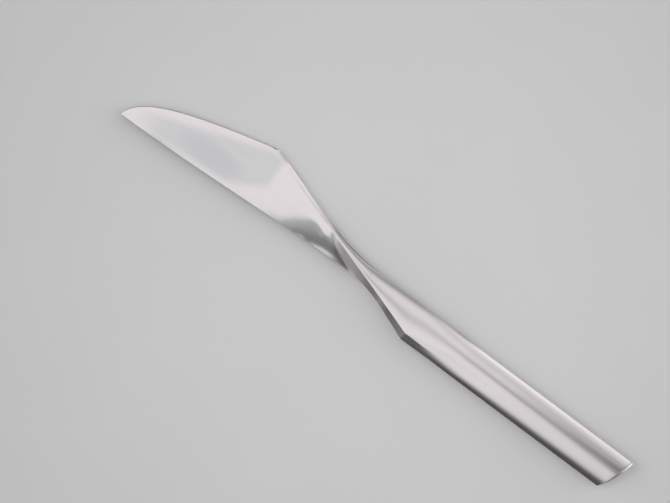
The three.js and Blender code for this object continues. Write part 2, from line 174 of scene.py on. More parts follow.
def ridge_line():
    start = shoulder - Vector((0, SHOULDER_BEVEL))
    end = handle_corner + Vector((0, FACET_WIDTH))
    pull = [share * (end.x - start.x) for share in RIDGE_PULL]
    first = start + pull[0] * Vector((1, -RIDGE_SLOPE[0]))
    second = end - pull[1] * Vector((1, -RIDGE_SLOPE[1]))
    return [[start, first, second, end]]


def bezier(points, t):
    while len(points) > 1:
        points = [a.lerp(b, t) for a, b in zip(points, points[1:])]
    return points[0]


def height_along(path):
    @functools.cache
    def height(x):
        curve = next((c for c in path if x <= c[-1].x), path[-1])
        low, high = 0.0, 1.0
        for _ in range(HALVINGS):
            middle = (low + high) / 2
            if bezier(curve, middle).x < x:
                low = middle
            else:
                high = middle
        return bezier(curve, (low + high) / 2).y

    return height


upper_at = height_along(upper_outline)
lower_at = height_along(lower_outline)
neck_ridge_at = height_along(ridge_line())


@functools.cache
def ridge_at(x):
    if x > shoulder.x:
        return neck_ridge_at(min(x, corner_x))
    upper = upper_at(x)
    bevel = lerp(SPINE_BEVEL, SHOULDER_BEVEL, smoothstep(x, shoulder.x - BEVEL_RUN, shoulder.x))
    return upper - min(bevel, BEVEL_LIMIT * (upper - lower_at(x)))


def ridge_share(x):
    """-1 on the cutting side, 1 on the spine side."""
    x = min(x, corner_x)
    upper, lower = upper_at(x), lower_at(x)
    return (2 * ridge_at(x) - upper - lower) / (upper - lower)


fold_start = Vector((shoulder.x + FOLD_START, ridge_at(shoulder.x + FOLD_START)))
fold_end = Vector((fold_start.x + FOLD_LENGTH, lower_at(fold_start.x + FOLD_LENGTH)))


def fold_at(x):
    left = max((fold_end.x - x) / FOLD_LENGTH, 0)
    return lerp(fold_end.y, fold_start.y, left**FOLD_BOW)


def flank_width(x):
    return ridge_at(x) - lower_at(x)


def facet_share(x):
    return (ridge_at(x) - fold_at(x)) / flank_width(x)


# Sections: half of each, from the spine side over the ridge to the cutting side


def grind_height(y):
    return EDGE_THICKNESS / 2 + math.tan(GRIND_ANGLE) * y


def heel_ease(x):
    share = clamp((x - GRIND_LENGTH) / HEEL_LENGTH, 0, 1)
    return lerp(share, smoothstep(share, 0, 1), HEEL_EASE)


def face_height(x, above):
    """The blade's face, so far above its edge: steepest at the edge, level with the grind on top."""
    edge = lerp(math.tan(GRIND_ANGLE), math.tan(HEEL_ANGLE), heel_ease(x))
    part = above / flank_width(min(x, fold_start.x))
    return lands_at(x)[1] + above * lerp(edge, math.tan(GRIND_ANGLE), part / 2)


def ridge_in_plan(x):
    """The ridge in plan. Past the handle's corner it keeps its share of the width."""
    return lerp(lower_at(x), upper_at(x), (1 + ridge_share(x)) / 2)


def crest_at(x):
    """The section's crest: on the ridge, then round the handle's corner to the middle."""
    around = [x]
    if abs(x - corner_x) < CREST_ROUND:
        steps = range(-CREST_SAMPLES, CREST_SAMPLES + 1)
        around = [x + CREST_ROUND * step / CREST_SAMPLES for step in steps]
    height = sum(ridge_in_plan(at) for at in around) / len(around)
    upper, lower = upper_at(x), lower_at(x)
    share = (2 * height - upper - lower) / (upper - lower)
    return share * (1 - smoothstep(x, corner_x - CREST_LEAD, corner_x + CREST_TRAIL))


def bulge(across, crest):
    """Height of the handle's curve between its edges: 1 on the crest, 0 at either edge."""
    away = (across - crest) / (1 - crest if across > crest else 1 + crest)
    rim = math.sqrt(1 - DOME_FULLNESS**2)
    return (math.sqrt(1 - (DOME_FULLNESS * away) ** 2) - rim) / (1 - rim)


def lands_at(x, inset=0.0):
    """Half the flats along the upper and the lower edge."""
    spine = min(SPINE_LAND / 2, grind_height(ridge_at(x)) / 2)
    upper = lerp(spine, HANDLE_BACK / 2, smoothstep(x, shoulder.x, joint_x))
    swell = smoothstep(x, GRIND_LENGTH, joint_x) ** EDGE_SWELL
    lower = lerp(grind_height(lower_at(x)), HANDLE_LAND / 2, swell)
    least = FEATHER / 2 if inset else 0
    return max(upper - inset, least), max(lower - inset, least)


def land_across(lands, across):
    return lerp(lands[1], lands[0], (1 + across) / 2)


def ridge_height(x):
    station = min(x, fold_start.x)
    face = face_height(station, flank_width(station))
    return lerp(face, NECK_THICKNESS / 2, smoothstep(x, fold_start.x, joint_x))


def crown_at(x):
    if x < joint_x:
        return ridge_height(x)
    return lerp(NECK_THICKNESS, HANDLE_THICKNESS, smoothstep(x, joint_x, corner_x + CROWN_TRAIL)) / 2


def face_fullness(x, rise):
    """The slight fullness that polishing leaves in the middle of the blade's face."""
    fade = between(x, (0, SHOULDER_FROM_TIP / 3), (SHOULDER_FROM_TIP, fold_start.x))
    return FACE_CROWN * fade * 4 * rise * (1 - rise)


def heel_lean(x, above):
    """How polishing shifts the heel's face: flatter beside its edge, then steeper up towards the fold."""
    part = clamp(above / LEAN_WIDTH, 0, 1)
    reach = LEAN_WIDTH * (part - part**3 / 3)
    flatter = between(x, LEAN_IN, LEAN_OUT) * (reach - LEAN_PIVOT)
    drop = smoothstep(x, *STEP_DROP)
    step = smoothstep(above, lerp(*STEP_FOOT, drop), lerp(*STEP_HEAD, drop))
    fall = smoothstep(above, lerp(*FALL_FOOT, drop), lerp(*FALL_HEAD, drop))
    steeper = HEEL_STEP * between(x, STEP_IN, STEP_OUT) * (step - 0.5 - fall / 2)
    return HEEL_LEAN * (steeper - flatter)


def crease_at(x):
    """Where the fold lies on the flank: 0 at the edge, 1 at the ridge."""
    return 1 - clamp(facet_share(x), FOLD_MARGIN, 1 - FOLD_MARGIN)


def folded_height(x, rise):
    """The blade's face and the facet that rises from it. Rise is 0 at the edge, 1 at the ridge."""
    crease = crease_at(x)
    if rise <= crease:
        return face_height(x, rise * flank_width(x))
    foot = face_height(x, crease * flank_width(x))
    return lerp(foot, ridge_height(x), (rise - crease) / (1 - crease))


def flank_rises(x):
    crease = crease_at(x)
    ridge = ridge_share(x)
    turn = math.acos(ridge)
    settled = smoothstep(x, fold_end.x, joint_x)
    steps = FACET_STEPS + FACE_STEPS
    rises = []
    for step in range(1, steps + 1):
        if step <= FACET_STEPS:
            folded = lerp(1, crease, step / FACET_STEPS)
        else:
            folded = lerp(crease, 0, (step - FACET_STEPS) / FACE_STEPS)
        domed = (1 + math.cos(lerp(turn, math.pi, step / steps))) / (1 + ridge)
        rises.append(lerp(folded, domed, settled))
    return rises


def leaning(x):
    """The stations lean over towards the slanted end, and turn back at its lower corner."""
    ease = smoothstep(x, corner_x + FACET_FADE, end_x)
    reach = ease * half_width * math.tan(END_SLANT)
    return lambda across: x + reach * across - ease * END_ROUND * ((1 - across) / 2) ** END_ROUNDING


def half_section(x, inset=0.0):
    leaning_x = leaning(x)
    upper = upper_at(leaning_x(1)) - inset
    lower = lower_at(leaning_x(-1)) + inset
    lands = lands_at(x, inset)
    crown = crown_at(x) - inset
    crest = crest_at(x)
    ridge = ridge_share(x)
    turn = math.acos(ridge)
    flatness = 1 - smoothstep(x, corner_x, corner_x + FACET_FADE)
    unfolded = smoothstep(x, fold_end.x - FOLD_FADE, fold_end.x)

    def dome(across):
        return lerp(land_across(lands, across), crown, bulge(across, crest))

    def point(across, z):
        return (leaning_x(across), lerp(lower, upper, (1 + across) / 2), z)

    points = []
    for step in range(SPINE_STEPS + 1):
        across = math.cos(turn * step / SPINE_STEPS)
        points.append(point(across, dome(across)))
    for rise in flank_rises(x):
        across = max(lerp(-1, ridge, rise), -1)
        facet = lerp(lands[1], dome(ridge), rise)
        plain = lerp(dome(across), facet, flatness)
        if unfolded < 1:
            polish = face_fullness(x, rise) + heel_lean(x, rise * flank_width(x))
            plain = lerp(folded_height(x, rise) + polish, plain, unfolded)
        points.append(point(across, plain))
    return np.array(points)


# Lofts


def mirrored(points):
    return points * (1, 1, -1)


def whole(points):
    return points, mirrored(points)


def solid_station(x, inset=0.0):
    return whole(half_section(x, inset))


def spread(start, end, count, power=1):
    return [lerp(start, end, (step / count) ** power) for step in range(count + 1)]


def loft(stations, side=1):
    """Closed body between an outer and an inner row of points at each station."""
    count = len(stations[0][0])
    rows = np.array([np.vstack(station) for station in stations])
    rows[..., 2] *= side
    faces = []

    def at(station, row, step):
        return (2 * station + row) * count + step

    def quad(*corners):
        faces.append(corners if side > 0 else corners[::-1])

    for new in range(1, len(stations)):
        old = new - 1
        for step in range(1, count):
            quad(at(old, 0, step - 1), at(old, 0, step), at(new, 0, step), at(new, 0, step - 1))
            quad(at(old, 1, step - 1), at(new, 1, step - 1), at(new, 1, step), at(old, 1, step))
        last = count - 1
        quad(at(old, 0, 0), at(new, 0, 0), at(new, 1, 0), at(old, 1, 0))
        quad(at(old, 0, last), at(old, 1, last), at(new, 1, last), at(new, 0, last))
    end = len(stations) - 1
    for step in range(1, count):
        quad(at(0, 0, step - 1), at(0, 1, step - 1), at(0, 1, step), at(0, 0, step))
        quad(at(end, 0, step - 1), at(end, 0, step), at(end, 1, step), at(end, 1, step - 1))
    return rows.reshape(-1, 3), faces


inside_shell = SHELL_WALL + BRAZE_GAP
spigot_end = joint_x + SPIGOT_LENGTH
plate_start = end_x - PLATE_RIM


def tang_stations():
    """A flat bar with round notches, aimed from the neck's middle at the handle's middle."""
    root = spigot_end - SPIGOT_LENGTH / 2
    middle = [(upper_at(x) + lower_at(x)) / 2 for x in (root, root + TANG_LENGTH)]
    lead = aimed(math.atan2(middle[1] - middle[0], TANG_LENGTH), 1)
    start, side = SPIGOT_LENGTH / 2, TANG_WIDTH / 2
    across = np.linspace(1, -1, SECTION_POINTS)

    def station(reach, half):
        x = root + lead.x * reach - lead.y * half * across
        y = middle[0] + lead.y * reach + lead.x * half * across
        return whole(np.stack([x, y, np.full_like(x, TANG_THICKNESS / 2)], axis=1))

    stations = [station((start + lead.y * side * across) / lead.x, side)]
    for number in range(1, NOTCHES + 1):
        centre = start + TANG_LENGTH / (NOTCHES + 1) * number
        for turn in np.linspace(0, math.pi, NOTCH_STATIONS):
            reach = centre - NOTCH_RADIUS * math.cos(turn)
            stations.append(station(reach, side - NOTCH_RADIUS * math.sin(turn)))
    return [*stations, station(start + TANG_LENGTH, side)]


def blade_loft():
    tip_x = TIP_WIDTH / math.tan(TIP_SWEEP)
    stations = [
        *spread(tip_x, shoulder.x, TIP_STATIONS, TIP_CROWDING),
        *spread(shoulder.x, joint_x, NECK_STATIONS)[1:],
    ]
    spigot = [solid_station(x, inside_shell) for x in (joint_x, spigot_end)]
    return loft([*(solid_station(x) for x in stations), *spigot, *tang_stations()])


def shell_station(x):
    foot = SEAM / 2

    def footed(points):
        first, last = points[0].copy(), points[-1].copy()
        first[2] = last[2] = foot
        return np.vstack([first, points, last])

    return footed(half_section(x)), footed(half_section(x, SHELL_WALL))


def shell_loft(side):
    stations = [
        *spread(joint_x + SEAM, corner_x, SHOULDER_STATIONS),
        *spread(corner_x, plate_start - SEAM, GRIP_STATIONS, GRIP_CROWDING)[1:],
    ]
    return loft([shell_station(x) for x in stations], side)


def plate_loft():
    rim = half_section(end_x)
    land, crown = END_LAND / 2, crown_at(end_x)
    rows = [
        solid_station(plate_start - PLATE_STEP, inside_shell),
        solid_station(plate_start, inside_shell),
        solid_station(plate_start),
        whole(rim),
    ]
    height = rim[:, 2] - land
    for step in range(1, DOME_STATIONS + 1):
        turn = math.pi / 2 * step / DOME_STATIONS
        out = END_DOME * (height / (crown - land)) * math.sin(turn)
        row = rim.copy()
        row[:, 0] += out * math.cos(END_SLANT)
        row[:, 1] -= out * math.sin(END_SLANT)
        row[:, 2] = land + height * math.cos(turn)
        rows.append(whole(row))
    return loft(rows)


lofts = {
    "blade": blade_loft(),
    "handle_shell_front": shell_loft(1),
    "handle_shell_back": shell_loft(-1),
    "butt_plate": plate_loft(),
}


# Rest: the handle lies along x, and the knife rolls on it until the blade's shoulder touches down

flat_points = np.vstack([points for points, _ in lofts.values()])
ahead = flat_points[:, 0] < heel_x


def rest_turn(roll):
    return np.array(Matrix.Rotation(-roll, 3, "X") @ Matrix.Rotation(HANDLE_SET, 3, "Z"))


def rest_roll():
    low, high = 0.0, STEEPEST_ROLL
    for _ in range(HALVINGS):
        roll = (low + high) / 2
        heights = flat_points @ rest_turn(roll)[2]
        if heights[ahead].min() > heights[~ahead].min():
            low = roll
        else:
            high = roll
    return roll


at_rest = rest_turn(rest_roll())
turned = flat_points @ at_rest.T
to_centre = -np.array([*(turned.min(axis=0) + turned.max(axis=0))[:2] / 2, turned[:, 2].min()])


def resting(points):
    """Flat millimetres to metres in the frame."""
    return (points @ at_rest.T + to_centre) * METRES


def blade_creases(mesh):
    """Marks the blade's ridge and its fold as sharp."""
    points = flat_points[: len(mesh.vertices)]
    crisp = (0, SPINE_STEPS, SECTION_POINTS - 1)
    for edge in mesh.edges:
        first, second = sorted(edge.vertices)
        column, x = first % SECTION_POINTS, points[first, 0]
        if second - first == 2 * SECTION_POINTS:
            folded = fold_start.x <= x < fold_end.x - FOLD_FADE
            on_fold = column == SPINE_STEPS + FACET_STEPS and folded
            edge.use_edge_sharp = column in crisp or on_fold


def piece(name, node, crease_angle):
    points, faces = lofts[node]
    mesh = bpy.data.meshes.new(name)
    mesh.from_pydata(resting(points), [], faces)
    mesh.update()
    mesh.shade_smooth()
    mesh.set_sharp_from_angle(angle=crease_angle)
    made = bpy.data.objects.new(name, mesh)
    bpy.context.scene.collection.objects.link(made)
    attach(made, "root")
    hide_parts(node)
    return made


blade = piece("steel_blade", "blade", BLADE_CREASE)
blade_creases(blade.data)
front = piece("steel_shell_front", "handle_shell_front", SHELL_CREASE)
back = piece("steel_shell_back", "handle_shell_back", SHELL_CREASE)
plate = piece("steel_butt_plate", "butt_plate", PLATE_CREASE)


# Materials

WHITE = (1, 1, 1, 1)
NOISE_RANGE = (0.3, 0.7)  # nearly all noise lies between these

# Steel: two tints, roughness from fresh to worn, streaks per metre along and across, and their grain
STEEL_TINTS = (0.715, 0.67, 0.683, 1), (0.755, 0.71, 0.723, 1)
POLISHED_ROUGHNESS, POLISHED_STREAKS, POLISHED_GRAIN = (0.08, 0.12), (90, 5200), 0.05
SATIN_ROUGHNESS, SATIN_STREAKS, SATIN_GRAIN = (0.14, 0.18), (60, 6500), 0.08
POLISHED_ANGLE, SATIN_ANGLE = math.radians(-4), 0
SATIN_START = (84, 99)  # the polish turns into satin here, in millimetres from the tip
FINE_SHARE, BROAD_LENGTH, BROAD_WIDTH = 0.55, 3, 9  # broad streaks are so much longer and wider
CLOUDS, CLOUD_ROUGHNESS, CLOUD_SHADE, SHADE_RANGE = 45, 0.015, 0.3, (0.35, 0.9)  # clouds per metre
GRAIN_DEPTH = 0.01 * METRES

# Painted shade and painted highlight, in bands by how far the surface faces the spine and by where they
# start and end, in millimetres from the tip. The level scales the steel's colour: below 1 it paints shade,
# above 1 a highlight. The spine's band narrows along the handle
Band = collections.namedtuple("Band", "facing start end level")
SPINE_PAINTED_SHADE = Band((0.24, 0.42), (77, 86), (148, 136), 0.50)
SPINE_NARROWS, SPINE_NARROWING = (117, 138), 0.20
HANDLE_FACET_PAINTED_SHADE = Band((-0.42, -0.58), (103, 109), (120, 112), 0.74)
NECK_FACET_PAINTED_SHADE = Band((-0.22, -0.30), (86, 89), (99, 96.5), 0.86)
SHOULDER_SLOPE_PAINTED_HIGHLIGHT = Band((0.10, 0.20), (50.5, 51.5), (82, 76), 1.18)

# The ground face's painted cool reflection, in millimetres: below a line that rises along the blade, above
# the edge, and up to an end that bends back towards the tip low down and is more blurred there
GROUND_REFLECTION_TINT = (0.82, 0.865, 0.86, 1)
GROUND_TOP, GROUND_TOP_HEIGHTS, GROUND_TOP_BLUR = (8, 50), (6.0, 18.8), 1.8
GROUND_FOOT, GROUND_TIP = (-0.2, 2.4), (0, 16)
GROUND_END, GROUND_BEND, GROUND_BEND_LENGTH = 54.8, (9, -1), 13
GROUND_BLUR, GROUND_BLUR_WIDTHS = (4, 11), (4.5, 1.6)
# A bluer painted reflection in the middle of the ground face
CORE_REFLECTION_TINT, CORE_CENTRE, CORE_RADII = (0.91, 0.91, 0.945, 1), (33, 6), (16, 6)

# The fold's painted shade, by the height above a line along the fold, and its darkest part, the root at the
# edge
FOLD_LINE_X, FOLD_LINE_FALL = 90, 0.53
TRACE_FOOT, TRACE_HEAD, TRACE_START, TRACE_SHADE_LEVEL = (-1.0, 1.2), (2.1, 1.6), (82, 87), 0.55
ROOT_START, ROOT_END, ROOT_SHADE_LEVEL = (84, 89), (97, 90), 0.42
ROOT_HEIGHT, ROOT_HEAD = (2.2, 0.8), (1.9, 1.3)

# Cement: two tints, roughness, and grains of sand and patches per metre
CEMENT_TINTS, CEMENT_ROUGHNESS = ((0.40, 0.37, 0.32, 1), (0.56, 0.53, 0.46, 1)), (0.8, 0.95)
SAND_GRAINS, SAND_SHARE, SAND_STRENGTH, SAND_DEPTH = 2600, 0.5, 0.5, 0.2 * METRES
PATCHES = 160

# Table: two tints and its painted shade, darker away from the knife, in metres and spots per metre
TABLE_TINTS = (0.87, 0.872, 0.87, 1), (0.88, 0.882, 0.88, 1)
TABLE_REACH, TABLE_ROUGHNESS, TABLE_SPECULAR, MOTTLES = 3.0, 0.7, 0.2, 25
DIMMING_CENTRE, DIMMING_RANGE, DIMMING_LEVELS = (0.0, 0.008, 0.0), (0.03, 0.22), (1.0, 0.84)


class Nodes:
    """Small helper that adds and joins shader nodes."""

    def __init__(self, tree):
        self.tree = tree
        tree.nodes.clear()

    def add(self, kind, inputs=None, **settings):
        node = self.tree.nodes.new(kind)
        for name, value in settings.items():
            setattr(node, name, value)
        for name, value in (inputs or {}).items():
            socket = node.inputs[name]
            if isinstance(value, bpy.types.NodeSocket):
                self.tree.links.new(value, socket)
            else:
                socket.default_value = value
        return node

    def math(self, operation, a, b=0.0):
        return self.add("ShaderNodeMath", {0: a, 1: b}, operation=operation).outputs[0]

    def times(self, *factors):
        return functools.reduce(lambda a, b: self.math("MULTIPLY", a, b), factors)

    def ramp(self, value, low, high, out_low=0.0, out_high=1.0, kind="SMOOTHSTEP"):
        inputs = {"Value": value, "From Min": low, "From Max": high, "To Min": out_low, "To Max": out_high}
        return self.add("ShaderNodeMapRange", inputs, interpolation_type=kind).outputs[0]

    def bell(self, value, centre, reach):
        """1 at the centre, 0 at that reach from it and beyond."""
        return self.ramp(self.math("ABSOLUTE", self.math("SUBTRACT", value, centre)), reach, 0.0)

    def mix(self, a, b, share):
        return self.add("ShaderNodeMix", {0: share, 2: a, 3: b}).outputs[0]

    def blend(self, a, b, share):
        """One colour turning into another."""
        return self.add("ShaderNodeMix", {0: share, 6: a, 7: b}, data_type="RGBA").outputs[2]

    def tinted(self, colour, tint):
        inputs = {0: 1.0, 6: colour, 7: tint}
        return self.add("ShaderNodeMix", inputs, data_type="RGBA", blend_type="MULTIPLY").outputs[2]

    def scaled(self, colour, level):
        return self.add("ShaderNodeVectorMath", {0: colour, "Scale": level}, operation="SCALE").outputs[0]

    def noise(self, vector, scale, detail=2.0, roughness=0.5):
        inputs = {"Vector": vector, "Scale": scale, "Detail": detail, "Roughness": roughness}
        return self.add("ShaderNodeTexNoise", inputs).outputs["Fac"]

    def stretched(self, vector, scale, angle):
        inputs = {"Vector": vector, "Scale": scale, "Rotation": (0, 0, angle)}
        return self.add("ShaderNodeMapping", inputs).outputs[0]

    def bump(self, height, strength, depth):
        inputs = {"Strength": strength, "Distance": depth, "Height": height}
        return self.add("ShaderNodeBump", inputs).outputs[0]

    def surface(self, inputs):
        shader = self.add("ShaderNodeBsdfPrincipled", inputs)
        self.add("ShaderNodeOutputMaterial", {"Surface": shader.outputs[0]})


def material_nodes(name):
    """A new material, its nodes and the place on the object that they start from."""
    material = bpy.data.materials.new(name)
    material.use_nodes = True
    n = Nodes(material.node_tree)
    return material, n, n.add("ShaderNodeTexCoord").outputs["Object"]


def flat_axis(n, place, axis):
    """A place in millimetres along one axis of the flat drawing."""
    direction = Vector(at_rest[:, axis])
    reach = n.add("ShaderNodeVectorMath", {0: place, 1: direction / METRES}, operation="DOT_PRODUCT")
    return n.math("SUBTRACT", reach.outputs["Value"], direction.dot(Vector(to_centre)))


def along_normal(n, axis):
    """How far the surface faces along one axis of the flat drawing."""
    normal = n.add("ShaderNodeNewGeometry").outputs["Normal"]
    facing = n.add("ShaderNodeVectorMath", {0: normal, 1: at_rest[:, axis]}, operation="DOT_PRODUCT")
    return facing.outputs["Value"]


def painted_band_level(n, band, x, facing):
    share = n.times(n.ramp(facing, *band.facing), n.ramp(x, *band.start), n.ramp(x, *band.end))
    return n.mix(1.0, band.level, share)


def handle_painted_shades(n, place, colour):
    """Painted shade on the steep sides round the neck and on the facets of the neck and the handle."""
    x = flat_axis(n, place, 0)
    facing = along_normal(n, 1)
    steep = n.math("SUBTRACT", facing, n.ramp(x, *SPINE_NARROWS, 0.0, SPINE_NARROWING))
    spine = painted_band_level(n, SPINE_PAINTED_SHADE, x, steep)
    facets = [painted_band_level(n, band, x, facing) for band in (HANDLE_FACET_PAINTED_SHADE, NECK_FACET_PAINTED_SHADE)]
    return n.scaled(colour, n.times(spine, *facets))


def ground_reflection_share(n, x, y):
    """How far a place lies inside the ground face's painted cool reflection."""
    top = n.math("SUBTRACT", y, n.ramp(x, *GROUND_TOP, *GROUND_TOP_HEIGHTS, "LINEAR"))
    bent = n.math("ADD", x, n.ramp(y, *GROUND_BEND, 0.0, GROUND_BEND_LENGTH))
    end = n.math("SUBTRACT", bent, GROUND_END)
    end = n.math("DIVIDE", end, n.ramp(y, *GROUND_BLUR, *GROUND_BLUR_WIDTHS))
    within = n.times(n.ramp(end, 1.0, -1.0), n.ramp(top, GROUND_TOP_BLUR, -GROUND_TOP_BLUR))
    return n.times(within, n.ramp(y, *GROUND_FOOT), n.ramp(x, *GROUND_TIP))


def core_reflection_share(n, x, y):
    """How near a place lies to the middle of the ground face, where the painted reflection is bluer."""
    u, v = (
        n.math("DIVIDE", n.math("SUBTRACT", place, centre), radius)
        for place, centre, radius in zip((x, y), CORE_CENTRE, CORE_RADII)
    )
    return n.ramp(n.math("ADD", n.times(u, u), n.times(v, v)), 1.0, 0.0)


def fold_painted_shade(n, x, y):
    """Painted shade along the fold, darkest at its root."""
    above = n.math("ADD", y, n.times(n.math("SUBTRACT", x, FOLD_LINE_X), FOLD_LINE_FALL))
    trace = n.times(n.ramp(above, *TRACE_FOOT), n.ramp(above, *TRACE_HEAD), n.ramp(x, *TRACE_START))
    root = n.times(n.ramp(x, *ROOT_START), n.ramp(x, *ROOT_END), n.ramp(y, *ROOT_HEIGHT))
    root = n.times(root, n.ramp(above, *ROOT_HEAD))
    return n.times(n.mix(1.0, TRACE_SHADE_LEVEL, trace), n.mix(1.0, ROOT_SHADE_LEVEL, root))


def blade_painted_light(n, place, colour):
    """A painted cool reflection makes the ground face cooler and greyer than the heel, a painted highlight
    brightens the slope behind the shoulder, and painted shade darkens the fold.
    """
    x, y = flat_axis(n, place, 0), flat_axis(n, place, 1)
    colour = n.tinted(colour, n.blend(WHITE, GROUND_REFLECTION_TINT, ground_reflection_share(n, x, y)))
    colour = n.tinted(colour, n.blend(WHITE, CORE_REFLECTION_TINT, core_reflection_share(n, x, y)))
    # A painted highlight on the slope behind the shoulder
    slope = painted_band_level(n, SHOULDER_SLOPE_PAINTED_HIGHLIGHT, x, along_normal(n, 1))
    return handle_painted_shades(n, place, n.scaled(colour, n.times(fold_painted_shade(n, x, y), slope)))


def steel(name, roughness, streaks, angle, grain, painted_light):
    """Brushed steel: streaks along the knife and faint clouds, rougher from the neck on."""
    material, n, place = material_nodes(name)
    lengthwise, crosswise = streaks
    fine = n.stretched(place, (lengthwise, crosswise, crosswise), angle)
    fine = n.noise(fine, 1.0, detail=3.0, roughness=0.6)
    lengthwise, crosswise = lengthwise / BROAD_LENGTH, crosswise / BROAD_WIDTH
    broad = n.noise(n.stretched(place, (lengthwise, crosswise, crosswise), angle), 1.0)
    worn = n.math("ADD", n.times(fine, FINE_SHARE), n.times(broad, 1 - FINE_SHARE))
    cloud = n.noise(place, CLOUDS, detail=3.0)
    rough = n.ramp(worn, *NOISE_RANGE, *roughness)
    rough = n.math("ADD", rough, n.ramp(cloud, *NOISE_RANGE, -CLOUD_ROUGHNESS, CLOUD_ROUGHNESS))
    to_satin = n.ramp(flat_axis(n, place, 0), *SATIN_START, 0.0, SATIN_ROUGHNESS[0] - roughness[0])
    shade = n.ramp(n.math("ADD", worn, n.times(cloud, CLOUD_SHADE)), *SHADE_RANGE)
    n.surface(
        {
            # Painted light and shade go into the base colour here
            "Base Color": painted_light(n, place, n.blend(*STEEL_TINTS, shade)),
            "Metallic": 1.0,
            "Roughness": n.math("ADD", rough, to_satin),
            "Normal": n.bump(worn, grain, GRAIN_DEPTH),
        }
    )
    return material


def cement():
    material, n, place = material_nodes("cement")
    sand = n.noise(place, SAND_GRAINS, detail=4.0, roughness=0.7)
    patch = n.noise(place, PATCHES, detail=3.0)
    mixed = n.math("ADD", n.times(sand, SAND_SHARE), n.times(patch, 1 - SAND_SHARE))
    n.surface(
        {
            "Base Color": n.blend(*CEMENT_TINTS, n.ramp(mixed, *NOISE_RANGE)),
            "Roughness": n.ramp(sand, *NOISE_RANGE, *CEMENT_ROUGHNESS),
            "Normal": n.bump(sand, SAND_STRENGTH, SAND_DEPTH),
        }
    )
    return material


def pale_table():
    """Pale and faintly mottled, with painted shade that makes it a little darker away from the knife."""
    material, n, place = material_nodes("table")
    mottle = n.noise(place, MOTTLES, detail=4.0)
    colour = n.blend(*TABLE_TINTS, n.ramp(mottle, *NOISE_RANGE))
    reach = n.add("ShaderNodeVectorMath", {0: place, 1: DIMMING_CENTRE}, operation="DISTANCE")
    dimming = n.ramp(reach.outputs["Value"], *DIMMING_RANGE, *DIMMING_LEVELS)
    n.surface(
        {
            "Base Color": n.scaled(colour, dimming),
            "Roughness": TABLE_ROUGHNESS,
            "Specular IOR Level": TABLE_SPECULAR,
        }
    )
    return material


polished = steel(
    "polished_steel", POLISHED_ROUGHNESS, POLISHED_STREAKS, POLISHED_ANGLE, POLISHED_GRAIN, blade_painted_light
)
satin = steel("satin_steel", SATIN_ROUGHNESS, SATIN_STREAKS, SATIN_ANGLE, SATIN_GRAIN, handle_painted_shades)
blade.data.materials.append(polished)
for handle_part in (front, back, plate):
    handle_part.data.materials.append(satin)
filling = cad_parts["handle_filling"]
filling.data.materials.clear()
filling.data.materials.append(cement())


# Table

table_mesh = bpy.data.meshes.new("table")
table_corners = [(TABLE_REACH * x, TABLE_REACH * y, 0) for x, y in ((-1, -1), (1, -1), (1, 1), (-1, 1))]
table_mesh.from_pydata(table_corners, [], [(0, 1, 2, 3)])
table = bpy.data.objects.new("table", table_mesh)
bpy.context.scene.collection.objects.link(table)
table.data.materials.append(pale_table())


# Light: a bright tent. Its parts are placed by angles from straight up, in degrees: across the knife, with
# the spine's side positive, and along it, with the butt's side positive. Buttward is the direction's share
# towards the butt. Each pair is a range that a part fades in over, or the levels at its two ends

# Streaks that run along the handle: centre and half width. The dark and the soft one shift across as the
# share towards the butt grows, by the drift for a share of 1
STREAK_DRIFT = 70
DARK_STREAK, DARK_STREAK_BUTTWARD, DARK_STREAK_DEPTHS = (25, 7), (-0.02, 0.02), (0.4, 0.5)
SOFT_STREAK, SOFT_STREAK_DEPTH = (56, 20), 0.22
BRIGHT_RIM, BRIGHT_RIM_BUTTWARD, BRIGHT_RIM_GAIN = (76, 14), (0.03, 0.10), 0.28

# Dimmer parts that the butt's end, the spine and the neck's facet mirror
BUTT_LEVEL, BUTT_BUTTWARD, BUTT_SHADES = 0.88, (0.112, 0.165), (((26, 30), 0.68), ((23, 12), 0.16))
SPINE_SHADE, SPINE_SHADE_BUTTWARD, SPINE_SHADE_LEVEL = (18, 36), (-0.07, -0.12), 0.14
FACET_SHADE, FACET_SHADE_BUTTWARD = (-10, -16), (-0.05, -0.09)
FACET_SHADE_FALL, FACET_SHADE_LEVELS = (-40, -84), (0.45, 0.20)

# The room is dark low on the cutting side and dim beyond the butt
LOW_SHADE_DRIFT, LOW_SHADE, LOW_SHADE_BUTTWARD, LOW_SHADE_LEVEL = 150, (-44, -76), (-0.2, -0.1), 0.08
BEYOND_BUTTWARD, BEYOND_ACROSS, BEYOND_LEVELS = (0.2, 0.26), (-10, 30), (0.2, 0.45)

# An opening near the top, which the heel mirrors
OPENING_SPINE, OPENING_EDGE, OPENING_BEYOND_EDGE = (-0.5, -2.6), (-15.2, -13.8), 0.25
OPENING_TIP, OPENING_BUTT, OPENING_TINT = (-11, -8), (1.8, 0.8), (0.92, 1.0, 0.985, 1)
OPENING_FALL, OPENING_LEVELS = (-2, -11), (0.50, 0.24)
OPENING_BUTT_FALL, OPENING_BUTT_SHARE = (-1.2, 0.0), 0.7
OPENING_TIP_FALL, OPENING_TIP_LEVEL = (-3.4, -5.0), 0.62

# The tent's far ends, which light the table
TIP_END_BUTTWARD, TIP_END_ACROSS, TIP_END_LEVELS = (-0.42, -0.52), (0, 25), (1.4, 0.2)
SIDE_BUTTWARD, SIDE_ACROSS = (0.3, 0.42), (5, 25)
SIDE_RISE, SIDE_LEVELS = (40, 60), (1.0, 2.0)


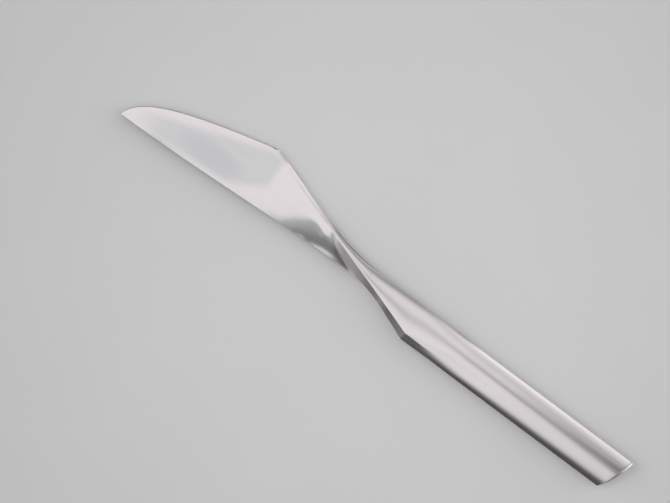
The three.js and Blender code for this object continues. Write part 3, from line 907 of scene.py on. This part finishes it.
def streaked(n, across, buttward):
    drift = n.math("ADD", across, n.times(buttward, STREAK_DRIFT))
    depth = n.ramp(buttward, *DARK_STREAK_BUTTWARD, *DARK_STREAK_DEPTHS)
    dark = n.times(n.bell(drift, *DARK_STREAK), depth)
    soft = n.times(n.bell(drift, *SOFT_STREAK), SOFT_STREAK_DEPTH)
    rim = n.times(n.bell(across, *BRIGHT_RIM), n.ramp(buttward, *BRIGHT_RIM_BUTTWARD, 0.0, BRIGHT_RIM_GAIN))
    return n.math("ADD", n.math("SUBTRACT", 1.0, n.math("ADD", dark, soft)), rim)


def shaded(n, level, across, buttward):
    butt = BUTT_LEVEL
    for streak, depth in BUTT_SHADES:
        butt = n.math("SUBTRACT", butt, n.times(n.bell(across, *streak), depth))
    level = n.times(level, n.mix(1.0, butt, n.ramp(buttward, *BUTT_BUTTWARD)))
    spine = n.times(n.ramp(across, *SPINE_SHADE), n.ramp(buttward, *SPINE_SHADE_BUTTWARD))
    level = n.mix(level, SPINE_SHADE_LEVEL, spine)
    facet = n.times(n.ramp(across, *FACET_SHADE), n.ramp(buttward, *FACET_SHADE_BUTTWARD))
    level = n.mix(level, n.ramp(across, *FACET_SHADE_FALL, *FACET_SHADE_LEVELS), facet)
    low = n.math("SUBTRACT", across, n.times(buttward, LOW_SHADE_DRIFT))
    low = n.times(n.ramp(low, *LOW_SHADE), n.ramp(buttward, *LOW_SHADE_BUTTWARD))
    level = n.mix(level, LOW_SHADE_LEVEL, low)
    return n.mix(level, n.ramp(across, *BEYOND_ACROSS, *BEYOND_LEVELS), n.ramp(buttward, *BEYOND_BUTTWARD))


def opening_share(n, across, lengthwise):
    sides = n.times(n.ramp(across, *OPENING_EDGE, OPENING_BEYOND_EDGE, 1.0), n.ramp(across, *OPENING_SPINE))
    return n.times(sides, n.ramp(lengthwise, *OPENING_TIP), n.ramp(lengthwise, *OPENING_BUTT))


def opening_level(n, across, lengthwise):
    level = n.ramp(across, *OPENING_FALL, *OPENING_LEVELS)
    level = n.times(level, n.ramp(lengthwise, *OPENING_BUTT_FALL, 1.0, OPENING_BUTT_SHARE))
    return n.mix(level, OPENING_TIP_LEVEL, n.ramp(lengthwise, *OPENING_TIP_FALL))


def far_ends(n, level, across, buttward):
    tip_end = n.ramp(across, *TIP_END_ACROSS, *TIP_END_LEVELS)
    level = n.mix(level, tip_end, n.ramp(buttward, *TIP_END_BUTTWARD))
    side = n.times(n.ramp(across, *SIDE_ACROSS), n.ramp(buttward, *SIDE_BUTTWARD))
    return n.mix(level, n.ramp(across, *SIDE_RISE, *SIDE_LEVELS), side)


def tent():
    world = bpy.data.worlds.new("studio")
    world.use_nodes = True
    n = Nodes(world.node_tree)
    direction = n.add("ShaderNodeTexCoord").outputs["Generated"]
    buttward, spineward, upward = n.add("ShaderNodeSeparateXYZ", {0: direction}).outputs
    across = n.math("DEGREES", n.math("ARCTAN2", spineward, upward))
    lengthwise = n.math("DEGREES", n.math("ARCTAN2", buttward, upward))
    level = shaded(n, streaked(n, across, buttward), across, buttward)
    opening = opening_share(n, across, lengthwise)
    level = n.mix(level, opening_level(n, across, lengthwise), opening)
    level = far_ends(n, level, across, buttward)
    hue = n.blend(WHITE, OPENING_TINT, opening)
    background = n.add("ShaderNodeBackground", {"Color": hue, "Strength": level})
    n.add("ShaderNodeOutputWorld", {"Surface": background.outputs[0]})
    return world


bpy.context.scene.world = tent()


# Camera: straight above, turned so that the handle runs down to the right

tip_place = Vector(resting(np.zeros(3)))
right = Vector((math.cos(PICTURE_TURN), math.sin(PICTURE_TURN), 0))
up = Vector((-math.sin(PICTURE_TURN), math.cos(PICTURE_TURN), 0))
centre = tip_place + (right * TIP_TO_CENTRE[0] + up * TIP_TO_CENTRE[1]) * METRES
above_tip = CAMERA_HEIGHT - tip_place.z / METRES
camera_data = bpy.data.cameras.new("camera")
camera_data.sensor_width = SENSOR_WIDTH
camera_data.lens = SENSOR_WIDTH * above_tip / (PICTURE_WIDTH * MM_PER_PIXEL)
camera = bpy.data.objects.new("camera", camera_data)
camera.location = (centre.x, centre.y, CAMERA_HEIGHT * METRES)
camera.rotation_euler = (0, 0, PICTURE_TURN)
bpy.context.scene.collection.objects.link(camera)
bpy.context.scene.camera = camera

bpy.context.scene.view_settings.view_transform = "Standard"
